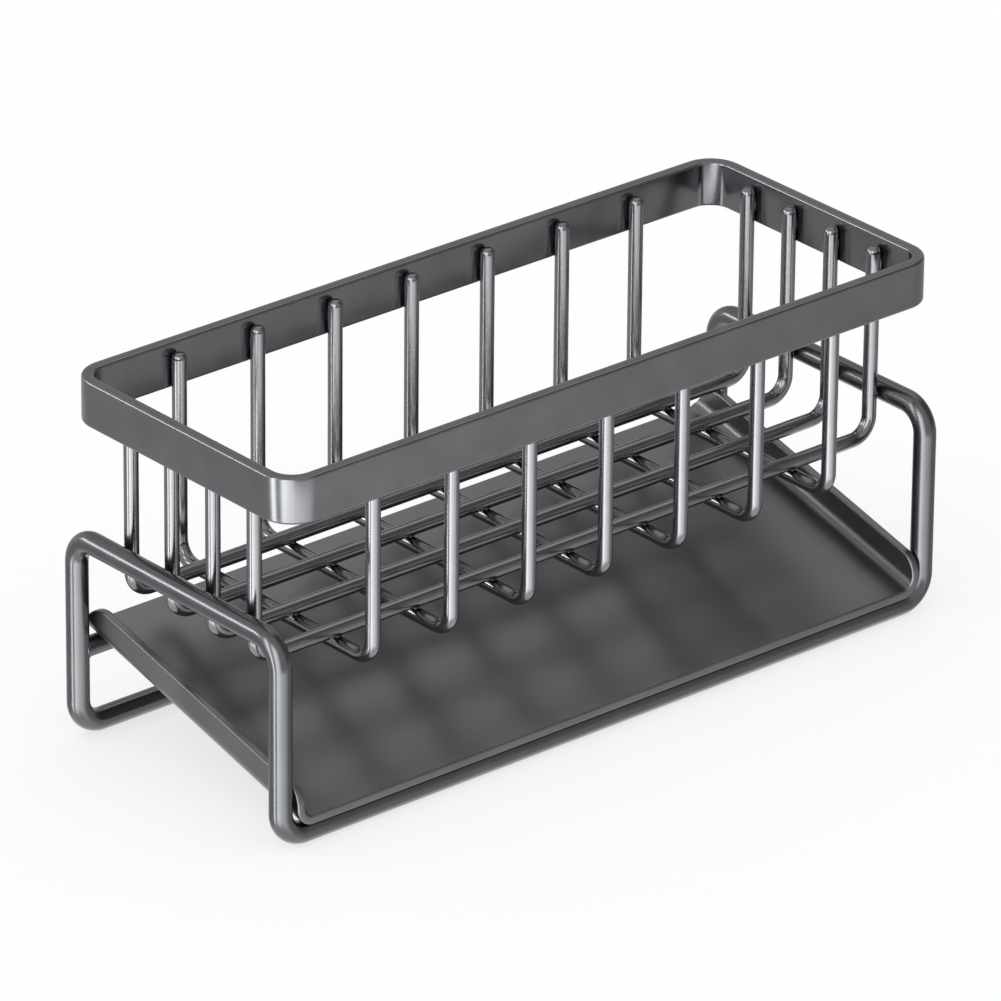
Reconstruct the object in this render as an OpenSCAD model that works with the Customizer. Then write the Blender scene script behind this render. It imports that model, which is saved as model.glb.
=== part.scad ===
// Sink caddy: a welded wire basket on a wire stand, over a sloping drip tray that pulls out.
// Lengths are in millimetres. The stand's rails rest on Z = 0, centred on the origin.
// X runs along the caddy, the front is -Y and +Z is up.

/* [Overall size] */
// Length over the stand
overall_l = 230; // [180:1:320]
// Depth over the stand and the band
overall_d = 90; // [76:1:130]
// Height to the top of the band
overall_h = 105; // [92:1:150]

/* [Stand] */
// Diameter of the stand wire
stand_wire_d = 6.2; // [4:0.1:8]
// Bend radius of the stand wire at its centreline
stand_bend_r = 7.5; // [5:0.5:12]
// Distance from the top of the basket's floor bends up to the side bars' centreline
side_bar_rise = 6; // [0:0.1:12]
// Diameter of the rear support bar
support_bar_d = 5.6; // [3:0.1:6]

/* [Basket] */
// Diameter of the basket wires
basket_wire_d = 4; // [3:0.1:5]
// Bend radius of the basket wires at their centreline
basket_bend_r = 6; // [4:0.5:10]
// Number of crosswise U-wires
cross_wire_count = 7; // [3:1:11]
// Distance from a basket end's wires to the nearest crosswise wire, between centrelines
cross_wire_margin = 27.6; // [10:0.1:40]
// Number of lengthwise U-wires
long_wire_count = 4; // [2:1:5]
// Distance from the front or back wires to the nearest lengthwise wire, between centrelines
long_wire_margin = 14.3; // [10:0.1:20]
// Distance from the band's top down to the wires' cut ends
wire_end_drop = 2.5; // [1:0.1:6]
// Height of the basket's wires over the highest edge of the tray
tray_headroom = 3.3; // [1:0.1:12]

/* [Band] */
// Height of the band
band_h = 13; // [8:0.1:20]
// Thickness of the band
band_t = 3.5; // [2:0.1:5]
// Outer radius of the band's corners
band_corner_r = 9.5; // [7:0.5:16]
// Rounding of the band's edges
band_edge_r = 0.8; // [0.3:0.1:1]

/* [Drip tray] */
// Slope of the tray in degrees, down towards the front
tray_slope = 14.7; // [10:0.1:16]
// Thickness of the tray's sheet
tray_t = 2.4; // [0.8:0.1:2.8]
// Height of the side walls
tray_wall_h = 10.6; // [8:0.1:14]
// Outer radius of the bends along the side walls, over the inner radius of the stand's bends
tray_bend_extra = 0.8; // [0.5:0.1:2]
// Rounding of a side wall's top corner at the front
tray_front_corner_r = 6; // [1:0.1:7]
// Rounding of a side wall's top corner at the back
tray_back_corner_r = 8; // [1:0.1:9.5]
// Distance from the back of the stand to the tray's back edge
tray_back_gap = 1.3; // [0.5:0.1:4]
// Clearance between the tray and the uprights, each side
tray_side_gap = 0.3; // [0.3:0.1:1.5]
// Clearance between the tray and what it sits on
tray_seat_gap = 0.3; // [0.2:0.1:0.5]

/* [Hidden] */
finish = [0.36, 0.365, 0.375];
tray_finish = [0.31, 0.315, 0.32];
$fn = 48;

// Overrun of cutting solids
overrun = 1;

// Stand: centrelines of the rails and uprights
stand_r = stand_wire_d / 2;
upright_x = overall_l / 2 - stand_r;
upright_y = overall_d / 2 - stand_r;

// Tray: a folded channel that lies on the front rail and the support bar, cut off upright at both ends
tray_front_y = -overall_d / 2;
tray_back_y = overall_d / 2 - tray_back_gap;
tray_mid_y = (tray_front_y + tray_back_y) / 2;
tray_mid_z = stand_r + (stand_r + tray_seat_gap) / cos(tray_slope)
    + (tray_mid_y + upright_y) * tan(tray_slope);
tray_half_l = (tray_back_y - tray_front_y) / 2 / cos(tray_slope);
tray_half_w = upright_x - stand_r - tray_side_gap;
tray_side_bend_r = stand_bend_r - stand_r + tray_bend_extra - tray_t;
// Height of the tray's underside at y, and of the centre of a wall's corner of radius r there
function tray_under_z(y) = tray_mid_z + (y - tray_mid_y) * tan(tray_slope);
function tray_corner_z(y, r) = tray_under_z(y) + (tray_wall_h - r) / cos(tray_slope);
tray_front_corner_y = tray_front_y + tray_front_corner_r;
tray_back_corner_y = tray_back_y - tray_back_corner_r;
tray_front_corner_z = tray_corner_z(tray_front_corner_y, tray_front_corner_r);
tray_back_corner_z = tray_corner_z(tray_back_corner_y, tray_back_corner_r);
tray_top_z = tray_back_corner_z + tray_back_corner_r;

// Rear support bar: on the rear uprights' centreline, under the tray
support_bar_r = support_bar_d / 2;
support_bar_z = tray_mid_z + (upright_y - tray_mid_y) * tan(tray_slope)
    - (support_bar_r + tray_seat_gap) / cos(tray_slope);

// Basket: the crosswise wires pass over the tray, and the lengthwise ones lie on them
wire_r = basket_wire_d / 2;
cross_wire_z = tray_top_z + tray_headroom + wire_r;
long_wire_z = cross_wire_z + basket_wire_d;
wire_top_z = overall_h - wire_end_drop;
side_bar_z = long_wire_z + basket_bend_r + side_bar_rise;

// The end wires stand against the inner faces of the side bars and of the band
long_wire_x = upright_x - stand_r - wire_r;
cross_wire_y = overall_d / 2 - band_t - wire_r;
band_x = upright_x - stand_r + band_t;
band_y = overall_d / 2;
cross_wire_pitch = 2 * (long_wire_x - cross_wire_margin) / (cross_wire_count - 1);
long_wire_pitch = 2 * (cross_wire_y - long_wire_margin) / (long_wire_count - 1);

// A straight wire along X, centred
module wire_x(length, d) {
    rotate([0, 90, 0]) translate([0, 0, -length / 2]) linear_extrude(length) circle(d = d);
}

// A straight wire up from the origin
module wire_up(length, d) {
    linear_extrude(length) circle(d = d);
}

// A quarter bend whose legs run towards -X and +Z from the corner at the origin
module elbow(bend_r, d) {
    translate([-bend_r, 0, bend_r]) rotate([90, 0, 0]) rotate([0, 0, -90])
        rotate_extrude(angle = 90) translate([bend_r, 0]) circle(d = d);
}

// A U-shaped wire in the XZ plane: its floor centreline is at Z = 0
module u_wire(half_span, height, bend_r, d) {
    wire_x(2 * (half_span - bend_r), d);
    for (side = [0, 1]) mirror([side, 0, 0]) {
        translate([half_span, 0, 0]) elbow(bend_r, d);
        translate([half_span, 0, bend_r]) wire_up(height - bend_r, d);
    }
}

// Place of number i in a centred row of count
function row_place(i, count, pitch) = (i - (count + 1) / 2) * pitch;

module cross_wire(i) {
    color(finish)
    translate([row_place(i, cross_wire_count, cross_wire_pitch), 0, cross_wire_z]) rotate([0, 0, 90])
        u_wire(cross_wire_y, wire_top_z - cross_wire_z, basket_bend_r, basket_wire_d);
}

module long_wire(i) {
    color(finish)
    translate([0, -row_place(i, long_wire_count, long_wire_pitch), long_wire_z])
        u_wire(long_wire_x, wire_top_z - long_wire_z, basket_bend_r, basket_wire_d);
}

// The band's cross-section: its outer face is at X = 0 and its top at Y = 0
module band_section() {
    translate([-band_t, -band_h + band_edge_r]) square([band_t, band_h - 2 * band_edge_r]);
    translate([-band_t + band_edge_r, -band_h]) square([band_t - 2 * band_edge_r, band_h]);
    for (x = [-band_t + band_edge_r, -band_edge_r], y = [-band_h + band_edge_r, -band_edge_r])
        translate([x, y]) circle(r = band_edge_r);
}

module top_band() {
    straight_x = band_x - band_corner_r;
    straight_y = band_y - band_corner_r;
    color(finish)
    translate([0, 0, overall_h]) for (turn = [0, 180]) rotate([0, 0, turn]) {
        translate([band_x, straight_y, 0]) rotate([90, 0, 0]) linear_extrude(2 * straight_y) band_section();
        translate([-straight_x, band_y, 0]) rotate([90, 0, 90]) linear_extrude(2 * straight_x) band_section();
        for (quarter = [0, 90]) rotate([0, 0, quarter])
            translate(quarter == 0 ? [straight_x, straight_y, 0] : [straight_y, straight_x, 0])
                rotate_extrude(angle = 90) translate([band_corner_r, 0]) band_section();
    }
}

// One corner of the stand: the bend at the rail, the upright and the bend at the side bar
module stand_corner() {
    translate([upright_x, upright_y, stand_r]) elbow(stand_bend_r, stand_wire_d);
    translate([upright_x, upright_y, stand_r + stand_bend_r])
        wire_up(side_bar_z - stand_r - 2 * stand_bend_r, stand_wire_d);
    translate([upright_x, upright_y, side_bar_z]) rotate([0, 0, 90]) rotate([180, 0, 0])
        elbow(stand_bend_r, stand_wire_d);
}

module stand_frame() {
    color(finish) {
        for (y = [-upright_y, upright_y]) translate([0, y, stand_r])
            wire_x(2 * (upright_x - stand_bend_r), stand_wire_d);
        for (x = [-upright_x, upright_x]) translate([x, 0, side_bar_z]) rotate([0, 0, 90])
            wire_x(2 * (upright_y - stand_bend_r), stand_wire_d);
        for (flip_x = [0, 1], flip_y = [0, 1]) mirror([flip_x, 0, 0]) mirror([0, flip_y, 0]) stand_corner();
    }
}

// The bar's ends are coped to the round of the uprights
module rear_support_bar() {
    color(finish)
    difference() {
        translate([0, upright_y, support_bar_z]) wire_x(2 * upright_x, support_bar_d);
        for (x = [-upright_x, upright_x]) translate([x, upright_y, 0]) wire_up(side_bar_z, stand_wire_d);
    }
}

// A rectangle from low to high in Y, centred in X, with all four corners rounded
module round_rect(half_w, low, high, r) {
    translate([-half_w, low + r]) square([2 * half_w, high - low - 2 * r]);
    translate([-half_w + r, low]) square([2 * (half_w - r), high - low]);
    for (x = [-half_w + r, half_w - r], y = [low + r, high - r]) translate([x, y]) circle(r = r);
}

// A long bar in the tray's own frame: the tray's outside when inset is 0, its inside when it is tray_t
module tray_bar(inset) {
    half_l = tray_half_l + tray_wall_h + inset;
    translate([0, half_l, 0]) rotate([90, 0, 0]) linear_extrude(2 * half_l)
        round_rect(tray_half_w - inset, inset, 3 * tray_wall_h + inset, tray_side_bend_r + tray_t - inset);
}

// Side view of the tray between its upright ends, with the walls' top corners rounded
module tray_side_view() {
    polygon([
        [tray_front_y, tray_under_z(tray_front_y) - tray_wall_h],
        [tray_back_y, tray_under_z(tray_back_y) - tray_wall_h],
        [tray_back_y, tray_back_corner_z],
        [tray_back_corner_y - tray_back_corner_r * sin(tray_slope),
            tray_back_corner_z + tray_back_corner_r * cos(tray_slope)],
        [tray_front_corner_y - tray_front_corner_r * sin(tray_slope),
            tray_front_corner_z + tray_front_corner_r * cos(tray_slope)],
        [tray_front_y, tray_front_corner_z]]);
    translate([tray_front_corner_y, tray_front_corner_z]) circle(r = tray_front_corner_r);
    translate([tray_back_corner_y, tray_back_corner_z]) circle(r = tray_back_corner_r);
}

module drip_tray() {
    color(tray_finish)
    intersection() {
        translate([0, tray_mid_y, tray_mid_z]) rotate([tray_slope, 0, 0]) difference() {
            tray_bar(0);
            tray_bar(tray_t);
        }
        rotate([90, 0, 90]) translate([0, 0, -tray_half_w - overrun])
            linear_extrude(2 * (tray_half_w + overrun)) tray_side_view();
    }
}

top_band();
stand_frame();
rear_support_bar();
drip_tray();
for (i = [1:cross_wire_count]) cross_wire(i);
for (i = [1:long_wire_count]) long_wire(i);
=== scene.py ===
"""Looks of the sink caddy: a wire basket on a wire stand over a sloping drip tray, in gunmetal-plated steel.

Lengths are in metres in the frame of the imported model: the rails stand on Z = 0, the front is -Y.
"""

import math

import bmesh
import bpy
from mathutils import Matrix, Vector


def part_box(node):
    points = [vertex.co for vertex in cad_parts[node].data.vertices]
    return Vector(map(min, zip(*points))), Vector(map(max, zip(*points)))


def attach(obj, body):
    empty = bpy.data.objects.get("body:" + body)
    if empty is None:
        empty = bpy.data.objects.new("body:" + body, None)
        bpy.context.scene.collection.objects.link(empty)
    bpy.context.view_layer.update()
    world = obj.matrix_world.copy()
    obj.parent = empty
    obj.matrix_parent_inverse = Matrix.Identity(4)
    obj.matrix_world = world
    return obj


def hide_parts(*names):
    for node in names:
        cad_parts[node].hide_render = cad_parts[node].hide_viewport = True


MM = 0.001
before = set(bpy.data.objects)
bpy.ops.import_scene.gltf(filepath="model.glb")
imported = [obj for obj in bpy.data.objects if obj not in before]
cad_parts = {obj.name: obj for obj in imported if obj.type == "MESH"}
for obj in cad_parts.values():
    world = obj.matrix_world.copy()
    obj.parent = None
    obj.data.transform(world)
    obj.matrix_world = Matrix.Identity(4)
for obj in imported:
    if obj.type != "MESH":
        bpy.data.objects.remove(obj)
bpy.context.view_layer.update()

# Nodes of the basket wires, counted from the left and from the back
CROSS_WIRES = [f"cross_wire_{i}" for i in range(1, 8)]
LONG_WIRES = [f"long_wire_{i}" for i in range(1, 5)]

# Sizes of the round bars and of the flat band
STAND_R = 3.1 * MM
STAND_BEND_R = 7.5 * MM
BAR_R = 2.8 * MM
WIRE_R = 2.0 * MM
WIRE_BEND_R = 6.0 * MM
WIRE_END_ROUND = 1.6 * MM
BAND_T = 3.5 * MM
BAND_CORNER_R = 9.5 * MM
BAND_EDGE_R = 0.8 * MM

# Steps along a bend and a rounded wire end, and round a bar and a band's edge
BEND_STEPS = 14
BAND_BEND_STEPS = 24
WIRE_END_STEPS = 6
ROUND_STEPS = 40
EDGE_STEPS = 5

# Sizes of the weld nuggets. A nugget is up to WELD_VARIATION smaller than these, and those on the band end
# BAND_WELD_GAP short of its lower edge and of the wires' tops.
WELD_R = 1.1 * MM
WELD_H = 0.5 * MM
SIDE_WELD_R = 1.15 * WELD_R
BAND_WELD_GAP = 1.6 * MM
WELD_VARIATION = 0.15
WELD_SEGMENTS = 20
WELD_RINGS = 12

# Sizes of the weld beads round the support bar's ends, which swell and shrink by BEAD_RIPPLE of their radius
BEAD_R = 0.3 * MM
BEAD_RIPPLE = 0.12
BEAD_RIPPLES = 9
BEAD_STEPS = 48

# Sizes of the tray: its walls stand square to its sloping floor, and its ends are upright
TRAY_SLOPE = math.radians(14.7)
TRAY_T = 2.4 * MM
TRAY_WALL_H = 10.6 * MM
TRAY_SIDE_BEND_R = 5.2 * MM
TRAY_FRONT_CORNER_R = 6.0 * MM
TRAY_BACK_CORNER_R = 8.0 * MM
TRAY_RIM_R = 0.5 * MM
TRAY_BACK_GAP = 1.3 * MM
TRAY_SEAT_GAP = 0.3 * MM
TRAY_LEAST_WALL = 0.4 * MM

# Steps of the tray's mesh, and the shares of its half width where its floor has a row of points
TRAY_CORNER_STEPS = 12
TRAY_LENGTH_STEPS = 24
TRAY_SIDE_STEPS = 20
TRAY_RIM_STEPS = 4
TRAY_FLOOR_SHARES = (-0.992, -0.6, -0.2, 0.2, 0.6, 0.992)

# A row of points this close to an edge keeps the faces beside it evenly shaded
HOLD = 0.2 * MM

# Points closer than the merge distance become one, edges bent more than the sharp angle are shaded sharp, and
# the path of a loop closes over its seam
MERGE_DISTANCE = 0.001 * MM
SHARP_ANGLE = math.radians(50)
LOOP_SEAM = 0.1 * MM


def middle(node):
    """Middle of a CAD node's box."""
    low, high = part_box(node)
    return (low + high) / 2


def add(tree, kind, inputs=(), **settings):
    """Adds a node. inputs pairs a socket's name or number with an output to link or a value to set."""
    node = tree.nodes.new(kind)
    for name, value in settings.items():
        setattr(node, name, value)
    for key, value in dict(inputs).items():
        if isinstance(value, bpy.types.NodeSocket):
            tree.links.new(value, node.inputs[key])
        else:
            node.inputs[key].default_value = value
    return node


def emptied(owner):
    """The node tree of a material, world or lamp, with nothing in it."""
    owner.use_nodes = True
    owner.node_tree.nodes.clear()
    return owner.node_tree


def linear(hex_colour):
    """An sRGB hex colour as linear RGBA, by the curve of the sRGB standard."""
    parts = [int(hex_colour[i : i + 2], 16) / 255 for i in (1, 3, 5)]
    return tuple(p / 12.92 if p <= 0.04045 else ((p + 0.055) / 1.055) ** 2.4 for p in parts) + (1.0,)


def add_object(name, data):
    obj = bpy.data.objects.new(name, data)
    bpy.context.scene.collection.objects.link(obj)
    return obj


def mesh_object(name, points, edges=(), faces=()):
    mesh = bpy.data.meshes.new(name)
    mesh.from_pydata([tuple(p) for p in points], edges, faces)
    return add_object(name, mesh)


def point_values(obj, label, values):
    """Stores a number for each point of the object's mesh."""
    attribute = obj.data.attributes.new(label, "FLOAT", "POINT")
    attribute.data.foreach_set("value", values)


def grid_faces(rows, wide, start=0, closed=False):
    """Faces between rows of wide points, numbered from start. In a closed grid each row meets its own end."""
    faces = []
    for first in range(start, start + (rows - 1) * wide, wide):
        for j in range(wide if closed else wide - 1):
            k = (j + 1) % wide
            faces.append((first + j, first + k, first + wide + k, first + wide + j))
    return faces


# Materials

# The plating's unevenness follows soft noise, of which the range MOTTLE_SPREAD is used. It moves the colour
# between two shares of its brightness, MOTTLE_TONES, and the roughness up and down by MOTTLE_ROUGHNESS.
MOTTLE_SPREAD = {"From Min": 0.3, "From Max": 0.7}
MOTTLE_TONES = (0.94, 1.05)
MOTTLE_ROUGHNESS = 0.025
MOTTLE_DETAIL = 3.0
LINE_DETAIL = 2.0


def plated_steel(name, colour, roughness, line_mm, lines_mm_long, bump_mm, mottle_mm, unbent):
    """Gunmetal plating over steel, whose fine lines are line_mm wide, lines_mm_long long and bump_mm deep.

    mottle_mm is the size of its unevenness. Where unbent is true, the lines follow a bent bar.
    """
    material = bpy.data.materials.new(name)
    tree = emptied(material)
    if unbent:
        place = add(tree, "ShaderNodeAttribute", attribute_name="unbent").outputs["Vector"]
    else:
        place = add(tree, "ShaderNodeTexCoord").outputs["Object"]
    across = 1 / (line_mm * MM)
    along = 1 / (lines_mm_long * MM)
    stretched = add(tree, "ShaderNodeMapping", {"Vector": place, "Scale": (across, across, along)})
    lines = add(tree, "ShaderNodeTexNoise",
                {"Vector": stretched.outputs[0], "Scale": 1.0, "Detail": LINE_DETAIL}).outputs["Fac"]
    mottle = add(tree, "ShaderNodeTexNoise",
                 {"Vector": place, "Scale": 1 / (mottle_mm * MM), "Detail": MOTTLE_DETAIL}).outputs["Fac"]
    tone = add(tree, "ShaderNodeMapRange", {"Value": mottle, **MOTTLE_SPREAD, "To Min": 0.0, "To Max": 1.0})
    dark, light = ([c * share for c in linear(colour)[:3]] + [1.0] for share in MOTTLE_TONES)
    base = add(tree, "ShaderNodeMix", {"Factor": tone.outputs[0], "A": dark, "B": light}, data_type="RGBA")
    rough = add(tree, "ShaderNodeMapRange",
                {"Value": mottle, **MOTTLE_SPREAD,
                 "To Min": roughness - MOTTLE_ROUGHNESS, "To Max": roughness + MOTTLE_ROUGHNESS})
    bump = add(tree, "ShaderNodeBump", {"Height": lines, "Strength": 1.0, "Distance": bump_mm * MM})
    shader = add(tree, "ShaderNodeBsdfPrincipled",
                 {"Base Color": base.outputs[2], "Metallic": 1.0, "Roughness": rough.outputs[0],
                  "Normal": bump.outputs[0]})
    add(tree, "ShaderNodeOutputMaterial", {"Surface": shader.outputs[0]})
    return material


# The real finish is a thin dark grey metal layer, nickel with tin or chromium, laid on polished steel in a
# bath. It mirrors the room a tenth to a sixth as bright as it is, in a neutral grey with a trace of blue, and
# it has no paint's sheen: its highlights are the lamps themselves. Under it the steel keeps the marks of its
# making.

# Flat bar rolled and then sanded along its length: lines 0.35 mm apart and 25 mm long, which spread its
# highlights a little across the bar, and a soft unevenness of the bath 9 mm across. The lines are real in
# direction but drawn coarser than the real grit's 0.05 mm, which would be too fine to show.
band_plate = plated_steel("gunmetal_plated_flat_bar", "#68696B", 0.22, 0.35, 25, 0.0006, 9, True)

# Wire drawn through a die and tumbled bright: the smoothest of the pieces, with sharp-edged white streaks,
# draw lines 0.3 mm apart that barely show, and unevenness 7 mm across.
wire_plate = plated_steel("gunmetal_plated_drawn_wire", "#707173", 0.2, 0.3, 20, 0.0001, 7, True)

# Thicker wire with the basket wires' plating and a little more roughness. Its darker base colour is painted
# # shade: it dims the stand's flats and highlights to how dark the stand looks in the studio's light.
stand_plate_with_painted_shade = plated_steel("gunmetal_plated_stand_wire", "#5A5B5D", 0.24, 0.35, 25, 0.0002, 9, True)

# Sheet with a satin tooth: it blurs the basket above it to soft light and dark squares. Its grain is about
# 1 mm, coarser than the real 0.1 mm so that it can show, and the bath's unevenness is 14 mm across.
tray_plate = plated_steel("gunmetal_plated_folded_sheet", "#67686A", 0.33, 0.9, 1.1, 0.002, 14, False)

# Spot welds: squeezed-out metal that was never polished, so it is dark, dull and pitted every 0.4 mm.
weld_plate = plated_steel("gunmetal_plated_weld", "#5C5D60", 0.28, 0.4, 0.5, 0.01, 3, False)


# Trees that make the bars and the welds


def shape_tree(name, inputs, result):
    """A Geometry Nodes tree with only these named inputs and one geometry output, and the inputs' sockets."""
    tree = bpy.data.node_groups.new(name, "GeometryNodeTree")
    for label, kind in inputs:
        tree.interface.new_socket(name=label, in_out="INPUT", socket_type="NodeSocket" + kind)
    tree.interface.new_socket(name=result, in_out="OUTPUT", socket_type="NodeSocketGeometry")
    return tree, add(tree, "NodeGroupInput").outputs


def bar_tree(name, flat):
    """Tree that bends a path, sweeps a bar or a flat band along it and repeats the result in a row."""
    inputs = [("Path", "Geometry"), ("Bend steps", "Int"), ("Bar width", "Float"), ("Bar height", "Float"),
              ("Edge radius", "Float"), ("Steps round", "Int"), ("Count", "Int"), ("First", "Vector"),
              ("Pitch", "Vector"), ("Finish", "Material")]
    tree, given = shape_tree(name, inputs, "Bars")
    bend, girth = (
        add(tree, "GeometryNodeInputNamedAttribute", {"Name": label}, data_type="FLOAT").outputs["Attribute"]
        for label in ("bend", "girth"))
    curve = add(tree, "GeometryNodeMeshToCurve", {"Mesh": given["Path"]})
    bent = add(tree, "GeometryNodeFilletCurve",
               {"Curve": curve.outputs[0], "Count": given["Bend steps"], "Radius": bend}, mode="POLY")
    if flat:
        square = add(tree, "GeometryNodeCurvePrimitiveQuadrilateral",
                     {"Width": given["Bar width"], "Height": given["Bar height"]})
        profile = add(tree, "GeometryNodeFilletCurve",
                      {"Curve": square.outputs[0], "Count": given["Steps round"],
                       "Radius": given["Edge radius"]}, mode="POLY")
    else:
        profile = add(tree, "GeometryNodeCurvePrimitiveCircle",
                      {"Resolution": given["Steps round"], "Radius": given["Edge radius"]}, mode="RADIUS")
    # Where a point lies along the path and in the profile is kept for the lines of the finish
    run = add(tree, "GeometryNodeSplineParameter").outputs["Length"]
    spot = add(tree, "GeometryNodeInputPosition").outputs[0]
    kept = []
    for geometry, kind, value in ((bent.outputs[0], "FLOAT", run), (profile.outputs[0], "VECTOR", spot)):
        capture = add(tree, "GeometryNodeCaptureAttribute", domain="POINT")
        capture.capture_items.new(kind, "Kept")
        tree.links.new(geometry, capture.inputs[0])
        tree.links.new(value, capture.inputs[1])
        kept.append(capture.outputs)
    kept_path, kept_profile = kept
    swept = add(tree, "GeometryNodeCurveToMesh",
                {"Curve": kept_path[0], "Scale": girth, "Profile Curve": kept_profile[0], "Fill Caps": True})
    parts = add(tree, "ShaderNodeSeparateXYZ", {0: kept_profile[1]})
    unbent = add(tree, "ShaderNodeCombineXYZ",
                 {"X": parts.outputs[0], "Y": parts.outputs[1], "Z": kept_path[1]})
    marked = add(tree, "GeometryNodeStoreNamedAttribute",
                 {"Geometry": swept.outputs[0], "Name": "unbent", "Value": unbent.outputs[0]},
                 data_type="FLOAT_VECTOR", domain="POINT")
    row = add(tree, "GeometryNodeMeshLine",
              {"Count": given["Count"], "Start Location": given["First"], "Offset": given["Pitch"]},
              mode="OFFSET")
    placed = add(tree, "GeometryNodeInstanceOnPoints",
                 {"Points": row.outputs[0], "Instance": marked.outputs[0]})
    real = add(tree, "GeometryNodeRealizeInstances", {"Geometry": placed.outputs[0]})
    merged = add(tree, "GeometryNodeMergeByDistance",
                 {"Geometry": real.outputs[0], "Distance": MERGE_DISTANCE})
    done = add(tree, "GeometryNodeSetMaterial", {"Geometry": merged.outputs[0], "Material": given["Finish"]})
    add(tree, "NodeGroupOutput", {"Bars": done.outputs[0]})
    return tree


def nugget_tree():
    """Tree that sets a weld nugget of slightly varying size on each point."""
    inputs = [("Places", "Geometry"), ("Nugget size", "Vector"), ("Variation", "Float"), ("Seed", "Int"),
              ("Finish", "Material")]
    tree, given = shape_tree("weld_nuggets", inputs, "Nuggets")
    ball = add(tree, "GeometryNodeMeshUVSphere",
               {"Segments": WELD_SEGMENTS, "Rings": WELD_RINGS, "Radius": 1.0})
    shaped = add(tree, "GeometryNodeTransform", {"Geometry": ball.outputs[0], "Scale": given["Nugget size"]})
    least = add(tree, "ShaderNodeMath", {0: 1.0, 1: given["Variation"]}, operation="SUBTRACT")
    size = add(tree, "FunctionNodeRandomValue", {"Min": least.outputs[0], "Max": 1.0, "Seed": given["Seed"]},
               data_type="FLOAT")
    placed = add(tree, "GeometryNodeInstanceOnPoints",
                 {"Points": given["Places"], "Instance": shaped.outputs[0], "Scale": size.outputs[1]})
    real = add(tree, "GeometryNodeRealizeInstances", {"Geometry": placed.outputs[0]})
    done = add(tree, "GeometryNodeSetMaterial", {"Geometry": real.outputs[0], "Material": given["Finish"]})
    add(tree, "NodeGroupOutput", {"Nuggets": done.outputs[0]})
    return tree


round_bars = bar_tree("round_bars", False)
flat_bars = bar_tree("flat_bars", True)
nuggets = nugget_tree()


def modified(obj, tree, values):
    """The object with the tree's result as its plain mesh."""
    modifier = obj.modifiers.new("shape", "NODES")
    modifier.node_group = tree
    keys = {item.name: item.identifier for item in tree.interface.items_tree if item.in_out == "INPUT"}
    for name, value in values.items():
        modifier[keys[name]] = value
    graph = bpy.context.evaluated_depsgraph_get()
    mesh = bpy.data.meshes.new_from_object(obj.evaluated_get(graph))
    obj.modifiers.clear()
    obj.data = mesh
    mesh.name = obj.name
    return obj


def finish_piece(obj, body, slot, *nodes):
    work = bmesh.new()
    work.from_mesh(obj.data)
    bmesh.ops.remove_doubles(work, verts=work.verts, dist=MERGE_DISTANCE)
    bmesh.ops.recalc_face_normals(work, faces=work.faces)
    work.to_mesh(obj.data)
    work.free()
    obj.data.shade_smooth()
    obj.data.set_sharp_from_angle(angle=SHARP_ANGLE)
    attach(obj, body)
    if nodes:
        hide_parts(*nodes)


# Bars: a bar's path is a list of places, each with its point, the bend radius there and the bar's share there
# of its full thickness


def path_object(name, places, closed):
    count = len(places)
    edges = [(i, i + 1) for i in range(count - 1)]
    if closed:
        edges.append((count - 1, 0))
    points, bends, girths = zip(*places)
    obj = mesh_object(name, points, edges)
    point_values(obj, "bend", bends)
    point_values(obj, "girth", girths)
    return obj


def round_bar(name, places, closed, radius, material, count=1, first=(0, 0, 0), pitch=(0, 0, 0)):
    return modified(path_object(name, places, closed), round_bars,
                    {"Bend steps": BEND_STEPS, "Edge radius": radius, "Steps round": ROUND_STEPS,
                     "Count": count, "First": first, "Pitch": pitch, "Finish": material})


def wire_end(tip, down, radius):
    """Places from a wire's cut and rounded end at tip, going down the wire to just under the rounding."""
    places = []
    for i in range(WIRE_END_STEPS + 1):
        angle = math.radians(90) * i / WIRE_END_STEPS
        depth = WIRE_END_ROUND * (1 - math.cos(angle))
        girth = 1 - WIRE_END_ROUND * (1 - math.sin(angle)) / radius
        places.append((tip + down * depth, 0.0, girth))
    places.append((tip + down * (WIRE_END_ROUND + HOLD), 0.0, 1.0))
    return places


def u_wires(name, nodes, sideways):
    """A row of U-shaped basket wires, whose floor runs along sideways, at the nodes' places."""
    low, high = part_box(nodes[0])
    half = (high - low).dot(sideways) / 2 - WIRE_R
    floor_z = low.z + WIRE_R
    top = Vector((0, 0, high.z))
    down = Vector((0, 0, -1))
    start = wire_end(-sideways * half + top, down, WIRE_R)
    end = wire_end(sideways * half + top, down, WIRE_R)
    bends = [(side * half * sideways + Vector((0, 0, floor_z)), WIRE_BEND_R, 1.0) for side in (-1, 1)]
    across = Vector((sideways.y, sideways.x, 0))
    first = middle(nodes[0]).dot(across) * across
    pitch = (middle(nodes[1]) - middle(nodes[0])).dot(across) * across
    wires = round_bar(name, start + bends + end[::-1], False, WIRE_R, wire_plate, len(nodes), first, pitch)
    finish_piece(wires, "rack", "basket_wire", *nodes)


def loop_places(corners, bend):
    """Places of a loop with the same bend at each corner. It starts between the last corner and the first."""
    x, y, z = corners[0]
    start = [(Vector((0, y, z)), 0.0, 1.0)]
    end = [(Vector((-LOOP_SEAM, y, z)), 0.0, 1.0)]
    return start + [(Vector(corner), bend, 1.0) for corner in corners] + end


def stand():
    """The stand, one closed loop over two rails, four uprights and two side bars."""
    low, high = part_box("stand_frame")
    x, y = high.x - STAND_R, high.y - STAND_R
    bottom, top = low.z + STAND_R, high.z - STAND_R
    corners = [(x, y, bottom), (x, y, top), (x, -y, top), (x, -y, bottom),
               (-x, -y, bottom), (-x, -y, top), (-x, y, top), (-x, y, bottom)]
    loop = round_bar("stand_loop", loop_places(corners, STAND_BEND_R), True, STAND_R, stand_plate_with_painted_shade)
    finish_piece(loop, "rack", "stand", "stand_frame")


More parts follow.
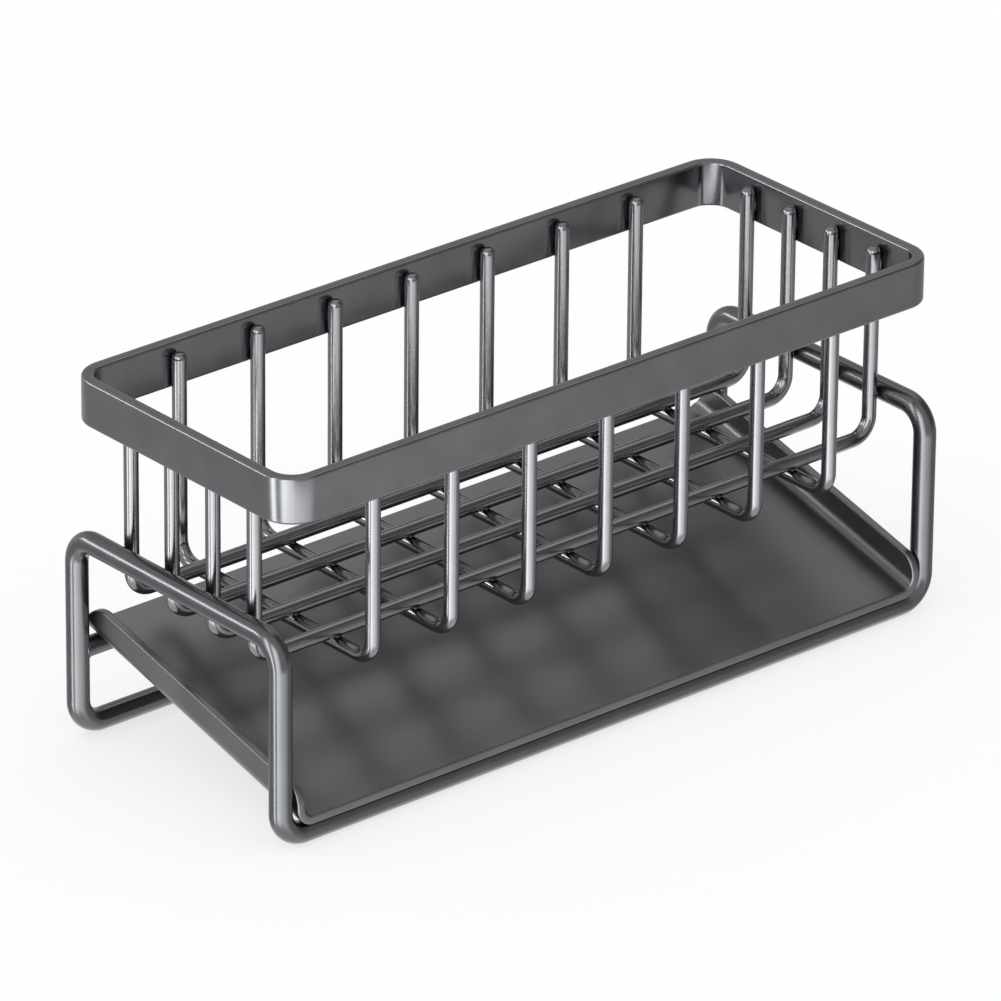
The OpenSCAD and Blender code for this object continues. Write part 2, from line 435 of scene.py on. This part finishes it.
def support_bar():
    """The rear bar, whose ends run into the uprights, with a weld bead round each end."""
    centre = middle("rear_support_bar")
    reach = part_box("stand_frame")[1].x - STAND_R
    ends = [(centre + Vector((side * reach, 0, 0)), 0.0, 1.0) for side in (-1, 1)]
    bar = round_bar("rear_bar", ends, False, BAR_R, stand_plate_with_painted_shade)
    finish_piece(bar, "rack", "stand", "rear_support_bar")
    for side, label in ((-1, "left"), (1, "right")):
        places = []
        for i in range(BEAD_STEPS):
            angle = math.tau * i / BEAD_STEPS
            y, z = BAR_R * math.cos(angle), BAR_R * math.sin(angle)
            cope = math.sqrt(STAND_R**2 - y**2)
            ripple = 1 + BEAD_RIPPLE * math.sin(BEAD_RIPPLES * angle)
            places.append((Vector((side * (reach - cope), centre.y + y, centre.z + z)), 0.0, ripple))
        bead = round_bar("bar_weld_" + label, places, True, BEAD_R, weld_plate)
        finish_piece(bead, "rack", "stand")


def band():
    """The flat band, bent round the top of the basket."""
    low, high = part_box("top_band")
    x, y = high.x - BAND_T / 2, high.y - BAND_T / 2
    z = (low.z + high.z) / 2
    corners = [(x, y, z), (x, -y, z), (-x, -y, z), (-x, y, z)]
    path = path_object("rim_band", loop_places(corners, BAND_CORNER_R - BAND_T / 2), True)
    loop = modified(path, flat_bars,
                    {"Bend steps": BAND_BEND_STEPS, "Bar width": BAND_T, "Bar height": high.z - low.z,
                     "Edge radius": BAND_EDGE_R, "Steps round": EDGE_STEPS, "Count": 1, "Finish": band_plate})
    finish_piece(loop, "rack", "band", "top_band")


u_wires("cross_wires", CROSS_WIRES, Vector((0, 1, 0)))
u_wires("long_wires", LONG_WIRES, Vector((1, 0, 0)))
stand()
support_bar()
band()


# Welds: small nuggets where the wires touch each other, the side bars and the band


def welds(name, places, size, seed):
    obj = modified(mesh_object(name, places), nuggets,
                   {"Nugget size": size, "Variation": WELD_VARIATION, "Seed": seed, "Finish": weld_plate})
    finish_piece(obj, "rack", "basket_wire")


cross_x = [middle(n).x for n in CROSS_WIRES]
long_y = [middle(n).y for n in LONG_WIRES]
crossing_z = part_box(LONG_WIRES[0])[0].z
welds("crossing_welds", [(x, y, crossing_z) for x in cross_x for y in long_y], (WELD_R, WELD_R, WELD_H), 1)

wire_out_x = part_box(LONG_WIRES[0])[1].x
side_bar_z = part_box("stand_frame")[1].z - STAND_R
welds("side_bar_welds", [(side * wire_out_x, y, side_bar_z) for side in (-1, 1) for y in long_y],
      (WELD_H, WELD_R, SIDE_WELD_R), 2)

wire_out_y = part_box(CROSS_WIRES[0])[1].y
band_low, wire_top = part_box("top_band")[0].z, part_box(CROSS_WIRES[0])[1].z
seam_z = (band_low + wire_top) / 2
seam_half = (wire_top - band_low) / 2 - BAND_WELD_GAP
welds("band_end_welds", [(side * wire_out_x, y, seam_z) for side in (-1, 1) for y in long_y],
      (WELD_H, WELD_R, seam_half), 3)
welds("band_side_welds", [(x, side * wire_out_y, seam_z) for side in (-1, 1) for x in cross_x],
      (WELD_R, WELD_H, seam_half), 4)


# Drip tray: one folded sheet, made as upright slices from its front edge to its back edge


def tray():
    stand_low, stand_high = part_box("stand_frame")
    half_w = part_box("drip_tray")[1].x
    front_y = stand_low.y
    back_y = stand_high.y - TRAY_BACK_GAP
    rail_y = stand_low.y + STAND_R
    tilt = math.cos(TRAY_SLOPE)
    seat_z = STAND_R + (STAND_R + TRAY_SEAT_GAP) / tilt

    def under_z(y):
        """Height of the underside at y."""
        return seat_z + (y - rail_y) * math.tan(TRAY_SLOPE)

    def corner(y, radius):
        """Centre of a wall's rounded top corner, in Y and Z."""
        return y, under_z(y) + (TRAY_WALL_H - radius) / tilt

    front_centre = corner(front_y + TRAY_FRONT_CORNER_R, TRAY_FRONT_CORNER_R)
    back_centre = corner(back_y - TRAY_BACK_CORNER_R, TRAY_BACK_CORNER_R)
    square_on = math.pi / 2 + TRAY_SLOPE

    def wall_tops(inset):
        """Points of the walls' top edge seen from the side, drawn in by inset, from the front to the back."""
        tops = []
        for (y, z), radius, first, last in ((front_centre, TRAY_FRONT_CORNER_R, math.pi, square_on),
                                            (back_centre, TRAY_BACK_CORNER_R, square_on, 0.0)):
            for i in range(TRAY_CORNER_STEPS + 1):
                angle = first + (last - first) * i / TRAY_CORNER_STEPS
                tops.append((y + (radius - inset) * math.cos(angle), z + (radius - inset) * math.sin(angle)))
        (y0, z0), (y1, z1) = tops[TRAY_CORNER_STEPS], tops[TRAY_CORNER_STEPS + 1]
        between = []
        for i in range(1, TRAY_LENGTH_STEPS):
            share = i / TRAY_LENGTH_STEPS
            between.append((y0 + (y1 - y0) * share, z0 + (z1 - z0) * share))
        return tops[: TRAY_CORNER_STEPS + 1] + between + tops[TRAY_CORNER_STEPS + 1 :]

    def side_points(top, depth):
        """Points of one slice's right side, from the floor up the bend and the wall, depth into the sheet."""
        y, z = top
        height = max((z - under_z(y)) * tilt, TRAY_T + TRAY_LEAST_WALL)
        radius = TRAY_SIDE_BEND_R - depth
        rise = min(height - depth, radius)
        turn = math.acos(1 - rise / radius)
        arc = radius * turn
        wall = max(height - depth - radius, 0)
        shares = [i / TRAY_SIDE_STEPS for i in range(TRAY_SIDE_STEPS)] + [1 - HOLD / (arc + wall), 1.0]
        points = []
        for share in shares:
            run = share * (arc + wall)
            angle = min(run, arc) / radius
            x = half_w - TRAY_SIDE_BEND_R + radius * math.sin(angle)
            up = depth + radius * (1 - math.cos(angle)) + max(run - arc, 0)
            points.append(Vector((x, y, under_z(y) + up / tilt)))
        return points

    def slice_points(top, depth):
        """A whole slice, from the top of the left wall to the top of the right one."""
        right = side_points(top, depth)
        left = [Vector((-p.x, p.y, p.z)) for p in right[::-1]]
        edge = right[0].x
        floor = [Vector((edge * share, right[0].y, right[0].z)) for share in TRAY_FLOOR_SHARES]
        return left + floor + right

    def sheet_side(inset, depth):
        """The slices of one side of the sheet, from the front end to the back end."""
        return [slice_points(top, depth) for top in wall_tops(inset)]

    def border(slices):
        """The edge all the way round a sheet side: front end, right wall's top, back end, left wall's top."""
        return (slices[0] + [row[-1] for row in slices[1:-1]] + slices[-1][::-1]
                + [row[0] for row in slices[-2:0:-1]])

    # The sheet's edge is rounded on both sides, in layers of an inset and a depth into the sheet
    edge_round = [math.radians(90) * i / TRAY_RIM_STEPS for i in range(TRAY_RIM_STEPS + 1)]
    layers = [(TRAY_RIM_R * (1 - math.sin(a)), TRAY_RIM_R * (1 - math.cos(a))) for a in edge_round]
    layers += [(inset, TRAY_T - depth) for inset, depth in layers[::-1]]
    underside, upper_side = sheet_side(*layers[0]), sheet_side(*layers[-1])
    rim = [border(sheet_side(*layer)) for layer in layers]
    points, faces = [], []
    for rows, closed in ((underside, False), (upper_side, False), (rim, True)):
        faces += grid_faces(len(rows), len(rows[0]), len(points), closed)
        points += [point for row in rows for point in row]
    obj = mesh_object("tray_sheet", points, (), faces)
    obj.data.materials.append(tray_plate)
    finish_piece(obj, "drip_tray", "tray", "drip_tray")


tray()


# Camera: the photograph's view. Azimuth and elevation are in degrees, the roll is in radians.

CAMERA_AZIMUTH = -40.74025
CAMERA_ELEVATION = 25.49440
CAMERA_ROLL = 0.0094533
CAMERA_AIM_X, CAMERA_AIM_Y = 1.6563 * MM, -4.7934 * MM
CAMERA_DISTANCE = 2578.967 * MM
CAMERA_TARGET = Vector((0, 0, 45 * MM))
CAMERA_CLIP = (0.1, 20)
CAMERA_LENS_MM = 349.84
SENSOR_MM = 36.0


def direction(turn, elevation):
    """Unit vector at turn degrees to the right of the camera, seen from above, and elevation degrees up."""
    azimuth = math.radians(CAMERA_AZIMUTH) + math.radians(turn)
    e = math.radians(elevation)
    return Vector((math.sin(azimuth) * math.cos(e), -math.cos(azimuth) * math.cos(e), math.sin(e)))


def make_camera():
    back = direction(0, CAMERA_ELEVATION)
    level = Vector((0, 0, 1)).cross(back).normalized()
    upright = back.cross(level)
    right = level * math.cos(CAMERA_ROLL) + upright * math.sin(CAMERA_ROLL)
    up = upright * math.cos(CAMERA_ROLL) - level * math.sin(CAMERA_ROLL)
    data = bpy.data.cameras.new("camera")
    data.lens = CAMERA_LENS_MM
    data.sensor_width = SENSOR_MM
    data.clip_start, data.clip_end = CAMERA_CLIP
    camera = add_object("camera", data)
    place = Matrix((right, up, back)).transposed().to_4x4()
    place.translation = CAMERA_TARGET - right * CAMERA_AIM_X - up * CAMERA_AIM_Y + back * CAMERA_DISTANCE
    camera.matrix_world = place
    bpy.context.scene.camera = camera


make_camera()


# Studio: a white floor, an even white surround, a soft sun, and softboxes and grey cards that only the metal
# shows. Turns, elevations and widths are in degrees.

WHITE = linear("#FFFFFF")
FLOOR_HALF = 4.0
FLOOR_WHITE_SHARE = 0.7
SURROUND_STRENGTH = 0.88
SUN_STRENGTH = 0.15
SUN_WIDTH = 50
SUN_TURN, SUN_ELEVATION = -60, 60
LAMP_DISTANCE = 2.0
CARD_DISTANCE = 2.4
CARD_STEPS_ROUND = 48
CARD_STEPS_UP = 16
STUDIO_CENTRE = Vector((0, 0, 50 * MM))


def make_floor():
    h = FLOOR_HALF
    floor = mesh_object("floor", [(-h, -h, 0), (h, -h, 0), (h, h, 0), (-h, h, 0)], (), [(0, 1, 2, 3)])
    # Matt white paper: no gloss at all, so it shows as an even white with a faint shadow
    material = bpy.data.materials.new("matt_white_paper")
    tree = emptied(material)
    paper = add(tree, "ShaderNodeBsdfDiffuse", {"Color": linear("#FDFDFD")})
    white = add(tree, "ShaderNodeEmission", {"Color": WHITE, "Strength": 1.0})
    seen = add(tree, "ShaderNodeLightPath").outputs["Is Camera Ray"]
    share = add(tree, "ShaderNodeMath", {0: seen, 1: FLOOR_WHITE_SHARE}, operation="MULTIPLY")
    mix = add(tree, "ShaderNodeMixShader", {0: share.outputs[0], 1: paper.outputs[0], 2: white.outputs[0]})
    add(tree, "ShaderNodeOutputMaterial", {"Surface": mix.outputs[0]})
    floor.data.materials.append(material)
    floor.visible_glossy = False
    floor.visible_shadow = False


def make_world():
    """A white surround: plain light on what is matt, and full white to the camera and in metal and glass."""
    world = bpy.data.worlds.new("white_surround")
    bpy.context.scene.world = world
    tree = emptied(world)
    path = add(tree, "ShaderNodeLightPath").outputs
    shown = path["Is Camera Ray"]
    for ray in ("Is Glossy Ray", "Is Transmission Ray"):
        shown = add(tree, "ShaderNodeMath", {0: shown, 1: path[ray]}, operation="MAXIMUM").outputs[0]
    ambient = add(tree, "ShaderNodeBackground", {"Color": WHITE, "Strength": SURROUND_STRENGTH})
    white = add(tree, "ShaderNodeBackground", {"Color": WHITE, "Strength": 1.0})
    mix = add(tree, "ShaderNodeMixShader", {0: shown, 1: ambient.outputs[0], 2: white.outputs[0]})
    add(tree, "ShaderNodeOutputWorld", {"Surface": mix.outputs[0]})


def facing_caddy(towards):
    """Turn of a lamp that stands in the direction towards and shines back on the caddy."""
    return towards.to_track_quat("Z", "Y").to_matrix().to_4x4()


def make_sun():
    data = bpy.data.lights.new("soft_sun", "SUN")
    data.energy = SUN_STRENGTH * math.pi
    data.angle = math.radians(SUN_WIDTH)
    lamp = add_object("soft_sun", data)
    lamp.matrix_world = facing_caddy(direction(SUN_TURN, SUN_ELEVATION))
    lamp.visible_glossy = False


def softbox(name, turn, elevation, wide, high, left, right, fade_across, fade_up):
    """A lamp that fills wide by high degrees as seen from the caddy.

    Its surface goes from brightness left to right, and fades out over those shares of its width and height.
    """
    data = bpy.data.lights.new(name, "AREA")
    data.shape = "RECTANGLE"
    data.size = 2 * LAMP_DISTANCE * math.tan(math.radians(wide / 2))
    data.size_y = 2 * LAMP_DISTANCE * math.tan(math.radians(high / 2))
    data.energy = math.pi * data.size * data.size_y
    tree = emptied(data)
    place = add(tree, "ShaderNodeNewGeometry").outputs["Parametric"]
    axes = add(tree, "ShaderNodeSeparateXYZ", {0: place}).outputs
    level = add(tree, "ShaderNodeMapRange", {"Value": axes[0], "To Min": left, "To Max": right}).outputs[0]
    # Across and up, the surface's own coordinates run from 0 to 1, so its edges are 0.5 from its middle
    for axis, fade in ((0, fade_across), (1, fade_up)):
        off = add(tree, "ShaderNodeMath", {0: axes[axis], 1: 0.5}, operation="SUBTRACT")
        away = add(tree, "ShaderNodeMath", {0: off.outputs[0]}, operation="ABSOLUTE")
        kept = add(tree, "ShaderNodeMapRange",
                   {"Value": away.outputs[0], "From Min": 0.5 - fade, "From Max": 0.5,
                    "To Min": 1.0, "To Max": 0.0}, interpolation_type="SMOOTHSTEP")
        level = add(tree, "ShaderNodeMath", {0: level, 1: kept.outputs[0]}, operation="MULTIPLY").outputs[0]
    glow = add(tree, "ShaderNodeEmission", {"Strength": level})
    add(tree, "ShaderNodeOutputLight", {"Surface": glow.outputs[0]})
    lamp = add_object(name, data)
    towards = direction(turn, elevation)
    lamp.matrix_world = facing_caddy(towards)
    lamp.location = STUDIO_CENTRE + towards * LAMP_DISTANCE
    lamp.visible_camera = False
    lamp.visible_diffuse = False


def card_grey():
    """Grey card: an even glow of its own, set by each place's shade, that darkens what the metal mirrors."""
    material = bpy.data.materials.new("matt_grey_card")
    tree = emptied(material)
    shade = add(tree, "ShaderNodeAttribute", attribute_name="shade").outputs["Fac"]
    glow = add(tree, "ShaderNodeEmission", {"Strength": shade})
    add(tree, "ShaderNodeOutputMaterial", {"Surface": glow.outputs[0]})
    return material


card_material = card_grey()


def eased(stops, value):
    """Number at value on a soft curve through stops, which pair a place with a number."""
    for (a, number_a), (b, number_b) in zip(stops, stops[1:]):
        if value <= b:
            share = (value - a) / (b - a)
            return number_a + (number_b - number_a) * share * share * (3 - 2 * share)
    return stops[-1][1]


def even_steps(stops, count):
    """The place of each of count even steps from the first stop to the last, with both ends."""
    first, last = stops[0][0], stops[-1][0]
    return [first + (last - first) * i / count for i in range(count + 1)]


def grey_card(name, stops, heights):
    """A curved card round the caddy.

    stops pair a turn with a shade, and heights an elevation with the share of the shade that shows there.
    """
    turns = even_steps(stops, CARD_STEPS_ROUND)
    rises = even_steps(heights, CARD_STEPS_UP)
    points, shades = [], []
    for turn in turns:
        for rise in rises:
            points.append(STUDIO_CENTRE + direction(turn, rise) * CARD_DISTANCE)
            shades.append(1 + (eased(stops, turn) - 1) * eased(heights, rise))
    card = mesh_object(name, points, (), grid_faces(len(turns), len(rises)))
    point_values(card, "shade", shades)
    card.data.materials.append(card_material)
    card.visible_camera = False
    card.visible_diffuse = False
    card.visible_transmission = False
    card.visible_shadow = False


make_floor()
make_world()
make_sun()

# Two lamps stand in front and one to the left of the camera, with a narrow strip further left that draws the
# side bars' bright line, one high up behind for the bars' upper sides, and one under the floor for what white
# paper throws back up. Each lamp is given as its turn and elevation, its width and height, its brightness at
# its left and right ends, and its faded shares.
softbox("left_strip", -56, 0, 16, 100, 6.6, 6.6, 0.15, 0.25)
softbox("front_softbox", -12, 0, 48, 106, 7.0, 1.3, 0.22, 0.3)
softbox("right_softbox", 37, -30, 76, 34, 3.8, 0.1, 0.3, 0.3)
softbox("side_strip", -97, 19, 40, 11, 10.0, 10.0, 0.2, 0.25)
softbox("top_back_softbox", 165, 54, 70, 24, 0.85, 0.85, 0.3, 0.3)
softbox("floor_bounce", 0, -90, 100, 100, 0.5, 0.5, 0.15, 0.15)

# The cards stand in for the dark sides of the studio, to the right of the caddy and behind it. The lower one
# goes on round to its left. A shade of 1 is as bright as the surround.
grey_card("lower_card",
          [(70, 1.0), (92, 0.74), (100, 0.68), (140, 0.5), (170, 0.4), (195, 0.6), (235, 0.78), (285, 0.84),
           (298, 1.0)],
          [(-46, 0.0), (-32, 1.0), (-14, 1.0), (0, 0.0)])
grey_card("upper_card",
          [(60, 1.0), (78, 0.5), (95, 0.3), (135, 0.3), (158, 0.72), (175, 0.62), (200, 0.62), (225, 1.0)],
          [(-14, 0.0), (-4, 1.0), (58, 1.0), (74, 0.0)])

bpy.context.scene.view_settings.view_transform = "Standard"
